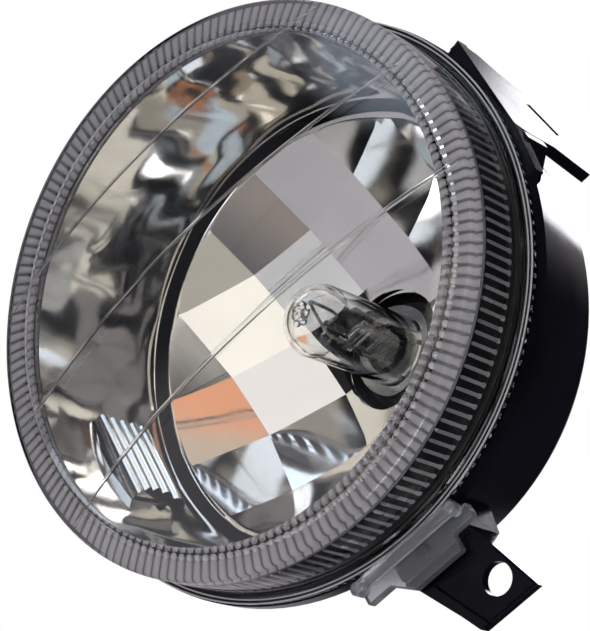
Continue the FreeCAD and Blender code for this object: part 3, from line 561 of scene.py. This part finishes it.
def make_rib_panel():
    """Flat chromed panel on the left wall, with rounded upright ribs and an arched foot."""
    low_z, high_z = -9.0, 9.5
    back_x, front_x = -43.6, -41.4
    rib_height = 0.9
    arch = 2.2
    ribs = 5
    pitch = 2.6
    start = 0.9
    section = [(start, back_x)]
    steps = 10
    for rib in range(ribs):
        for step in range(steps + 1):
            share = step / steps
            rise = rib_height * max(0.0, math.sin(math.pi * share)) ** 0.7
            section.append((start + (rib + 0.08 + share * 0.84) * pitch, front_x + rise))
    section.append((start + ribs * pitch, back_x))
    points = []
    levels = 12
    for level in range(levels + 1):
        share = level / levels
        for depth, x in section:
            bottom = low_z + arch * (1 - ((depth - start) / (ribs * pitch) * 2 - 1) ** 2)
            points.append((x, depth, bottom + (high_z - bottom) * share))
    faces = bar_faces(0, levels + 1, len(section))
    make_piece("trim_rib_panel", points, faces, "chrome_trim", "housing", 50)


# ---------------------------------------------------------------- reflector
FOCAL = 20.5
VERTEX = 38.5
MIRROR_RADIUS = 39.4
HOLE_RADIUS = 11.5
COLUMN_LINES = (-27.5, -13.0, 1.0, 15.5, 29.5)
ROW_LINES = (-28.0, -14.0, 0.0, 14.0, 28.0)
FACET_PUSH = 0.11
FACET_FLATNESS = 0.78
FACET_STEP = 1.2


def mirror_depth(x, z):
    """Depth of the smooth bowl."""
    return VERTEX - (x * x + z * z) / (4 * FOCAL)


def cell_of(x, z):
    """Which facet a place belongs to."""
    return (sum(x > line for line in COLUMN_LINES), sum(z > line for line in ROW_LINES))


def grid_lines(lines):
    """The lines where facets meet, with one more beyond the rim at each end."""
    edge = MIRROR_RADIUS + 2
    return (-edge, *lines, edge)


def facet_table():
    """A small push in or out at each corner where facets meet, in millimetres."""
    return {(column, row): dice.uniform(-FACET_PUSH, FACET_PUSH)
            for column in range(len(COLUMN_LINES) + 2) for row in range(len(ROW_LINES) + 2)}


def facet_depth(x, z, pushes):
    """Each facet is nearly flat between its corners and keeps a little of the bowl's curve."""
    column, row = cell_of(x, z)
    low_x, high_x = grid_lines(COLUMN_LINES)[column:column + 2]
    low_z, high_z = grid_lines(ROW_LINES)[row:row + 2]
    across = (x - low_x) / (high_x - low_x)
    along = (z - low_z) / (high_z - low_z)
    flat_x = low_x ** 2 * (1 - across) + high_x ** 2 * across
    flat_z = low_z ** 2 * (1 - along) + high_z ** 2 * along
    flat = VERTEX - (flat_x + flat_z) / (4 * FOCAL)
    low = pushes[column, row] * (1 - across) + pushes[column + 1, row] * across
    high = pushes[column, row + 1] * (1 - across) + pushes[column + 1, row + 1] * across
    curve = flat * FACET_FLATNESS + mirror_depth(x, z) * (1 - FACET_FLATNESS)
    return curve + low * (1 - along) + high * along


def facet_stations(lines):
    """Even steps between the lines where facets meet."""
    marks = grid_lines(lines)
    stations = []
    for low, high in zip(marks, marks[1:]):
        steps = round((high - low) / FACET_STEP)
        stations += [low + (high - low) * step / steps for step in range(steps)]
    return stations + [marks[-1]]


def make_facets():
    """The mirror's front as a thin shell of square facets that meet in crisp lines."""
    columns = facet_stations(COLUMN_LINES)
    rows = facet_stations(ROW_LINES)
    snap = 0.4
    outer = MIRROR_RADIUS - snap
    inner = HOLE_RADIUS + snap
    pushes = facet_table()
    places = {}
    points = []
    faces = []
    for column in range(len(columns) - 1):
        for row in range(len(rows) - 1):
            corners = ((column, row), (column + 1, row), (column + 1, row + 1), (column, row + 1))
            radii = [math.hypot(columns[left], rows[up]) for left, up in corners]
            if min(radii) > outer or max(radii) < inner:
                continue
            for corner, radius in zip(corners, radii):
                if corner not in places:
                    scale = 1.0
                    if radius > outer:
                        scale = MIRROR_RADIUS / radius
                    if radius < inner:
                        scale = HOLE_RADIUS / radius
                    x = columns[corner[0]] * scale
                    z = rows[corner[1]] * scale
                    places[corner] = len(points)
                    points.append((x, facet_depth(x, z, pushes), z))
            faces.append(tuple(places[corner] for corner in corners))
    facets = make_piece("reflector_facets", points, faces, "mirror_coat", "reflector", 4)
    work = bmesh.new()
    work.from_mesh(facets.data)
    for edge in work.edges:
        if edge.is_boundary:
            edge.smooth = False
    work.to_mesh(facets.data)
    work.free()
    shell = facets.modifiers.new("thickness", "SOLIDIFY")
    shell.thickness = 0.5 * MM
    shell.offset = -1


def make_reflector():
    """Moulded bowl behind the facets, with its rim, bulb neck and bayonet seat."""
    front, back = 1.3, 2.4
    steps = 12
    profile = []
    for step in range(steps + 1):
        radius = HOLE_RADIUS + (MIRROR_RADIUS + 0.1 - HOLE_RADIUS) * step / steps
        profile.append((radius, mirror_depth(radius, 0) + front))
    edge = mirror_depth(MIRROR_RADIUS, 0)
    profile[-1] = (MIRROR_RADIUS + 0.15, edge + 0.9)
    profile += [(MIRROR_RADIUS + 0.15, edge), (MIRROR_RADIUS + 0.4, edge - 0.1),
                (MIRROR_RADIUS + 1.2, edge), (MIRROR_RADIUS + 1.4, edge + 0.3),
                (MIRROR_RADIUS + 1.4, edge + 1.6), (MIRROR_RADIUS, edge + back + 0.4)]
    for step in range(10, 4, -1):
        radius = MIRROR_RADIUS * step / 11
        profile.append((radius + 0.8, mirror_depth(radius, 0) + back))
    profile += [(15.2, 38.0), (15.0, 38.6), (15.0, 39.5), (12.0, 39.5), (HOLE_RADIUS, 39.3)]
    bowl = lathe("reflector_bowl", profile, "mirror_coat", "reflector", 192, sharp=30)
    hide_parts("reflector")
    neck = rounded([(15.0, 39.55), (15.0, 49.0, 0.4), (12.6, 49.0), (12.6, 45.0), (10.4, 45.0),
                    (10.4, 43.0), (12.4, 43.0), (12.4, 39.8), (11.55, 39.55)], 0.15)
    lathe("reflector_neck", neck, "trim_back", "reflector", 128, sharp=30)
    for side, name in ((-16, "left"), (16, "right")):
        pad = [(0.01, 31), (4.2, 29), (4.4, 33.8), (4.2, 34.0), (0.01, 34.0)]
        lathe(f"reflector_pad_{name}", pad, "mirror_coat", "reflector", 48, (side, -24), 30)
    aim = [(0.01, 28), (5.9, 30.5), (6.2, 31.9), (5.9, 32.2), (3.2, 32.2), (3.2, 29.6),
           (0.01, 29.6)]
    lathe("reflector_aim_pad", aim, "mirror_coat", "reflector", 48, (0, 34), 30)


# ---------------------------------------------------------------- bulb
def make_capsule():
    """Clear capsule with a drawn-out, slightly crooked tip."""
    radius = 6.7
    tip = 7.4
    end = 38.6
    wall = 0.9
    nose, inner_nose = 5.9, 5.1
    steps = 16
    profile = []
    for step in range(1, steps + 1):
        angle = math.radians(90 * step / steps)
        profile.append((radius * math.sin(angle), tip + nose * (1 - math.cos(angle))))
    profile += [(radius, 22), (radius, end - 4), (radius - 0.25, end - 2), (radius - 0.8, end),
                (radius - 1.6, end), (radius - wall - 0.15, end - 3)]
    inner = radius - wall
    for step in range(steps, 0, -1):
        angle = math.radians(90 * step / steps)
        profile.append((inner * math.sin(angle), tip + wall + inner_nose * (1 - math.cos(angle))))
    capsule = lathe("bulb_capsule", profile, "bulb_glass", "bulb", 96, sharp=60, closed=False)
    cap_holes(capsule)
    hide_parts("bulb_glass")
    make_tip()


def cap_holes(piece):
    """Close the open rims at the axis."""
    work = bmesh.new()
    work.from_mesh(piece.data)
    bmesh.ops.holes_fill(work, edges=work.edges, sides=0)
    bmesh.ops.recalc_face_normals(work, faces=work.faces)
    work.to_mesh(piece.data)
    work.free()
    piece.data.shade_smooth()


def make_tip():
    """Melted tip-off point: a twisted, lumpy nub on the front of the capsule."""
    points = []
    rings = 22
    columns = 40
    widest = 1.9
    lean = 0.25
    front, length = 6.3, 2.0
    for ring in range(rings + 1):
        share = ring / rings
        swell = widest * math.sin(math.pi * (0.08 + 0.5 * share)) ** 0.7 * (0.4 + 0.6 * share)
        for column in range(columns):
            angle = 2 * math.pi * column / columns
            lump = 1 + 0.20 * math.sin(2 * angle + 13 * share)
            lump += 0.11 * math.sin(5 * angle - 10 * share)
            points.append((swell * lump * math.cos(angle) + lean * (1 - share),
                           front + length * share ** 1.2,
                           swell * lump * math.sin(angle)))
    faces = bar_faces(0, rings + 1, columns)
    make_piece("bulb_tip", points, faces, "bulb_glass", "bulb", 60)


def make_filament():
    """Axial tungsten coil with its two straight tails."""
    turns = 13
    centre = 18.0
    length = 5.6
    tail = 3.1
    coil_radius, wire_radius = 0.62, 0.11
    turn_steps = 10
    steps = turns * turn_steps
    path = [(0, centre - tail, 0.0)]
    for step in range(steps + 1):
        angle = 2 * math.pi * step / turn_steps
        path.append((coil_radius * math.cos(angle), centre - length / 2 + length * step / steps,
                     coil_radius * math.sin(angle)))
    path.append((0, centre + tail, 0.0))
    coil = tube("bulb_coil", path, wire_radius, "tungsten", "bulb", 3)
    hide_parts("bulb_filament")


def make_leads():
    """The long lead makes a hairpin over the front of the coil; the short one ends behind."""
    long_lead = tube("bulb_long_lead", [
        (-2.3, 40.2, 0), (-2.3, 30, 0), (-2.3, 21, 0), (-1.8, 17.4, 0.2), (0.9, 11.6, 2.5),
        (1.3, 10.9, 2.8), (1.6, 11.5, 2.6), (2.5, 16.2, 0.7), (1.5, 16.6, 0.3), (0, 15.6, 0),
    ], 0.32, "lead_wire", "bulb")
    tube("bulb_short_lead", [
        (2.3, 40.2, 0), (2.3, 30, 0), (2.35, 23.6, 0), (2.2, 22.1, 0), (1.2, 21.9, 0),
        (0.2, 21.9, 0), (0, 21.6, 0), (0, 20.9, 0),
    ], 0.34, "lead_wire", "bulb")
    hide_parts("bulb_lead_wires")


def make_stem():
    """Pinched stem: a pressed block with grooves, flaring into the capsule's foot."""
    block = prism("bulb_pinch", rounded([(-3.4, -1.1), (3.4, -1.1), (3.4, 1.1), (-3.4, 1.1)],
                                        0.4), 27.6, 36.2, "stem_glass", "bulb", bevel=0.3)
    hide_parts("bulb_stem")
    foot = [(0.01, 36.0), (3.6, 36.0), (4.6, 36.6), (4.9, 38.0), (4.9, 40.4), (0.01, 40.4)]
    lathe("bulb_stem_foot", foot, "stem_glass", "bulb", 64, sharp=40)
    for number in range(5):
        depth = 28.7 + number * 1.45
        for side, name in ((1, "up"), (-1, "down")):
            tube(f"bulb_pinch_rib_{name}_{number}", [(-2.9, depth, side * 1.08),
                                                    (0, depth, side * 1.12),
                                                    (2.9, depth, side * 1.08)],
                 0.26, "stem_glass", "bulb", 3)
    bead = prism("bulb_bridge", rounded([(-3.5, -1.0), (3.5, -1.0), (3.5, 1.0), (-3.5, 1.0)],
                                        0.9, 6), 23, 25.6, "stem_glass", "bulb", bevel=0.5)
    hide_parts("bulb_bead")


# ---------------------------------------------------------------- carried-over CAD nodes
def finish_cad_nodes():
    """Give every CAD node that stays in view its finish."""
    slots = {part["node"]: part["material_slot"] for part in frame["record"]["subparts"]}
    for name, node in frame["nodes"].items():
        finish = MATERIALS[slots[name]]
        if not node.data.materials:
            node.data.materials.append(finish)
        for place in node.material_slots:
            place.material = finish


# ---------------------------------------------------------------- rear boot
def make_boot():
    """Rubber boot: a clamp on the shell's collar, bellows, and a neck sleeve."""
    clamp = rounded([(21.05, 48.0), (22.5, 48.0, 0.4), (22.5, 52.3, 0.7), (18.9, 52.3),
                     (18.9, 51.05), (21.05, 51.05)], 0.15)
    lathe("boot_clamp", clamp, "boot_rubber", "housing", 128, sharp=40)
    fold = rounded([
        (18.85, 52.3), (17.8, 52.3, 0.4), (17.8, 50.4), (17.45, 49.8), (17.8, 49.2), (17.8, 47.2),
        (17.2, 46.5), (16.3, 46.4), (16.3, 45.2), (17.0, 45.3), (18.2, 45.6), (18.8, 46.6),
        (18.8, 49.2), (18.5, 49.8), (18.8, 50.4),
    ], 0.25)
    bellows = lathe("boot_bellows", fold, "boot_rubber", None, 128, sharp=40)
    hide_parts("rear_boot")
    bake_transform(bellows)
    sleeve = rounded([(15.05, 44.4), (16.25, 44.4), (16.25, 48.7), (15.05, 48.7)], 0.25)
    lathe("boot_sleeve", sleeve, "boot_rubber", "reflector", 128, sharp=40)


# ---------------------------------------------------------------- stage
def direction(azimuth, elevation):
    """Unit vector: azimuth 0 is straight ahead of the lens (-Y), 90 is +X."""
    side = math.radians(azimuth)
    up = math.radians(elevation)
    return Vector((math.sin(side) * math.cos(up), -math.cos(side) * math.cos(up), math.sin(up)))


# Soft panels as (azimuth, elevation, half angle, softness, colour), all angles in degrees.
# A later panel lies over an earlier one.
ENVIRONMENT = (
    # broad grey tones above, to the left and below
    (50, 64, 27, 14, (0.40, 0.40, 0.45)),
    (-36, 38, 26, 14, (0.12, 0.12, 0.14)),
    (-46, -8, 34, 12, (0.56, 0.54, 0.58)),
    (-82, 5, 12, 6, (0.10, 0.08, 0.09)),
    (-6, -18, 11, 8, (0.74, 0.74, 0.76)),
    # the bright side: cool above, warm below, with two copper patches
    (37, 45, 20, 6, (1.30, 1.50, 1.80)),
    (24, -10, 23, 5, (1.40, 1.33, 1.22)),
    (54, 18, 8, 4, (0.75, 0.60, 0.48)),
    (28, 12, 10, 3, (1.20, 1.15, 1.12)),
    (45, 17, 4.5, 1.5, (1.10, 0.50, 0.27)),
    (20.5, 11, 2.5, 1, (1.15, 0.52, 0.28)),
    # low panels, which show in the ribs and at the rim of the bowl
    (-22, -38, 11, 7, (0.30, 0.24, 0.20)),
    (23, -39, 9, 4, (0.60, 0.56, 0.50)),
    (48, -38, 7, 3, (0.95, 0.95, 1.0)),
    (0, -73, 17, 6, (7.0, 6.9, 7.0)),
    (17, -49, 8.5, 3, (1.7, 1.85, 2.1)),
    # small bright lamps
    (41, 25, 4.5, 2, (1.3, 1.6, 2.0)),
    (60, 22, 3.5, 1.5, (3.0, 3.0, 3.0)),
    (38, 2, 3, 1.5, (3.2, 3.1, 3.0)),
    (64, -24, 5, 2, (2.6, 2.7, 3.0)),
    (66, 30, 4, 2, (2.4, 2.6, 3.0)),
    # sides and rear, which show in the black shell and its tab
    (-95, 20, 7, 4, (0.30, 0.32, 0.40)),
    (100, 25, 8, 4, (1.6, 1.6, 1.7)),
    (-155, 33, 40, 12, (0.43, 0.40, 0.43)),
    (167, 28.5, 7.5, 2, (3.9, 3.9, 4.1)),
    (178, 33, 4.5, 2, (6.0, 6.1, 6.4)),
)
DARK_ROOM = (0.012, 0.012, 0.015)
BACKGROUND = (1.0, 1.0, 1.0)


def make_world():
    """A dim room with soft light panels for reflections; the view itself ends in white."""
    world = bpy.data.worlds.new("studio")
    world.use_nodes = True
    tree = world.node_tree
    tree.nodes.clear()
    place = tree.nodes.new("ShaderNodeTexCoord")
    colour = None
    for azimuth, elevation, reach, soft, tone in ENVIRONMENT:
        aim = tree.nodes.new("ShaderNodeVectorMath")
        aim.operation = "DOT_PRODUCT"
        aim.inputs[1].default_value = direction(azimuth, elevation)
        tree.links.new(place.outputs["Generated"], aim.inputs[0])
        mask = tree.nodes.new("ShaderNodeMapRange")
        mask.interpolation_type = "SMOOTHSTEP"
        mask.inputs["From Min"].default_value = math.cos(math.radians(reach + soft / 2))
        mask.inputs["From Max"].default_value = math.cos(math.radians(max(reach - soft / 2, 0)))
        tree.links.new(aim.outputs["Value"], mask.inputs["Value"])
        layer = tree.nodes.new("ShaderNodeMix")
        layer.data_type = "RGBA"
        layer.inputs["A"].default_value = (*DARK_ROOM, 1)
        layer.inputs["B"].default_value = (*tone, 1)
        tree.links.new(mask.outputs["Result"], layer.inputs["Factor"])
        if colour is not None:
            tree.links.new(colour, layer.inputs["A"])
        colour = layer.outputs["Result"]
    room = tree.nodes.new("ShaderNodeBackground")
    tree.links.new(colour, room.inputs["Color"])
    backdrop = tree.nodes.new("ShaderNodeBackground")
    backdrop.inputs["Color"].default_value = (*BACKGROUND, 1)
    rays = tree.nodes.new("ShaderNodeLightPath")
    chosen = tree.nodes.new("ShaderNodeMixShader")
    output = tree.nodes.new("ShaderNodeOutputWorld")
    tree.links.new(rays.outputs["Is Camera Ray"], chosen.inputs["Fac"])
    tree.links.new(room.outputs["Background"], chosen.inputs[1])
    tree.links.new(backdrop.outputs["Background"], chosen.inputs[2])
    tree.links.new(chosen.outputs["Shader"], output.inputs["Surface"])
    bpy.context.scene.world = world


def add_area(name, azimuth, elevation, distance, size, power):
    """A soft light that is not itself seen in the chrome."""
    light = bpy.data.lights.new(name, "AREA")
    light.shape = "RECTANGLE"
    light.size, light.size_y = size
    light.energy = power
    lamp = bpy.data.objects.new(name, light)
    away = direction(azimuth, elevation)
    lamp.location = away * distance
    lamp.rotation_mode = "QUATERNION"
    lamp.rotation_quaternion = away.to_track_quat("Z", "Y")
    lamp.visible_glossy = False
    lamp.visible_transmission = False
    bpy.context.scene.collection.objects.link(lamp)


def make_stage():
    """Pale floor and three soft lights."""
    floor_mesh = bpy.data.meshes.new("floor")
    size = 6.0
    level = -0.45
    corners = [(-size, -size, level), (size, -size, level), (size, size, level),
               (-size, size, level)]
    floor_mesh.from_pydata(corners, [], [(0, 1, 2, 3)])
    floor = bpy.data.objects.new("floor", floor_mesh)
    bpy.context.scene.collection.objects.link(floor)
    floor_mesh.materials.append(plain_surface(
        "pale_floor", (0.80, 0.80, 0.80), (0.84, 0.84, 0.84), (0.7, 0.8), grain=50, patch=2))
    floor.visible_glossy = False
    floor.visible_transmission = False
    add_area("key_light", 110, 55, 1.2, (0.8, 0.8), 9)
    add_area("fill_light", -95, 60, 1.2, (0.8, 0.5), 7)
    add_area("front_light", -10, 15, 1.2, (1.0, 1.0), 6)


def make_camera():
    """Seen from the right, in front and below, rolled as the lamp lies in the view."""
    camera = bpy.data.cameras.new("camera")
    camera.lens = 126.34
    camera.sensor_width = 36.0
    camera.clip_start = 0.01
    camera.clip_end = 20.0
    holder = bpy.data.objects.new("camera", camera)
    right = Vector((0.67954, 0.60755, -0.41123))
    up = Vector((0.64753, -0.23322, 0.72547))
    back = right.cross(up)
    turn = Matrix((right, up, back)).transposed()
    holder.matrix_world = Matrix.Translation(Vector((132.6, -287.1, -213.3)) * MM) @ turn.to_4x4()
    bpy.context.scene.collection.objects.link(holder)
    bpy.context.scene.camera = holder


finish_cad_nodes()
make_lens()
make_lens_ribs()
make_lens_flutes()
for number, height in enumerate((27.9, 6.2, -15.5)):
    make_lens_ridge(f"lens_ridge_{number}", height)
make_flange_beads()
make_lens_clip()
make_trim()
make_rib_panel()
make_reflector()
make_facets()
make_capsule()
make_filament()
make_leads()
make_stem()
make_boot()
make_world()
make_stage()
make_camera()
bpy.context.scene.view_settings.view_transform = "Standard"
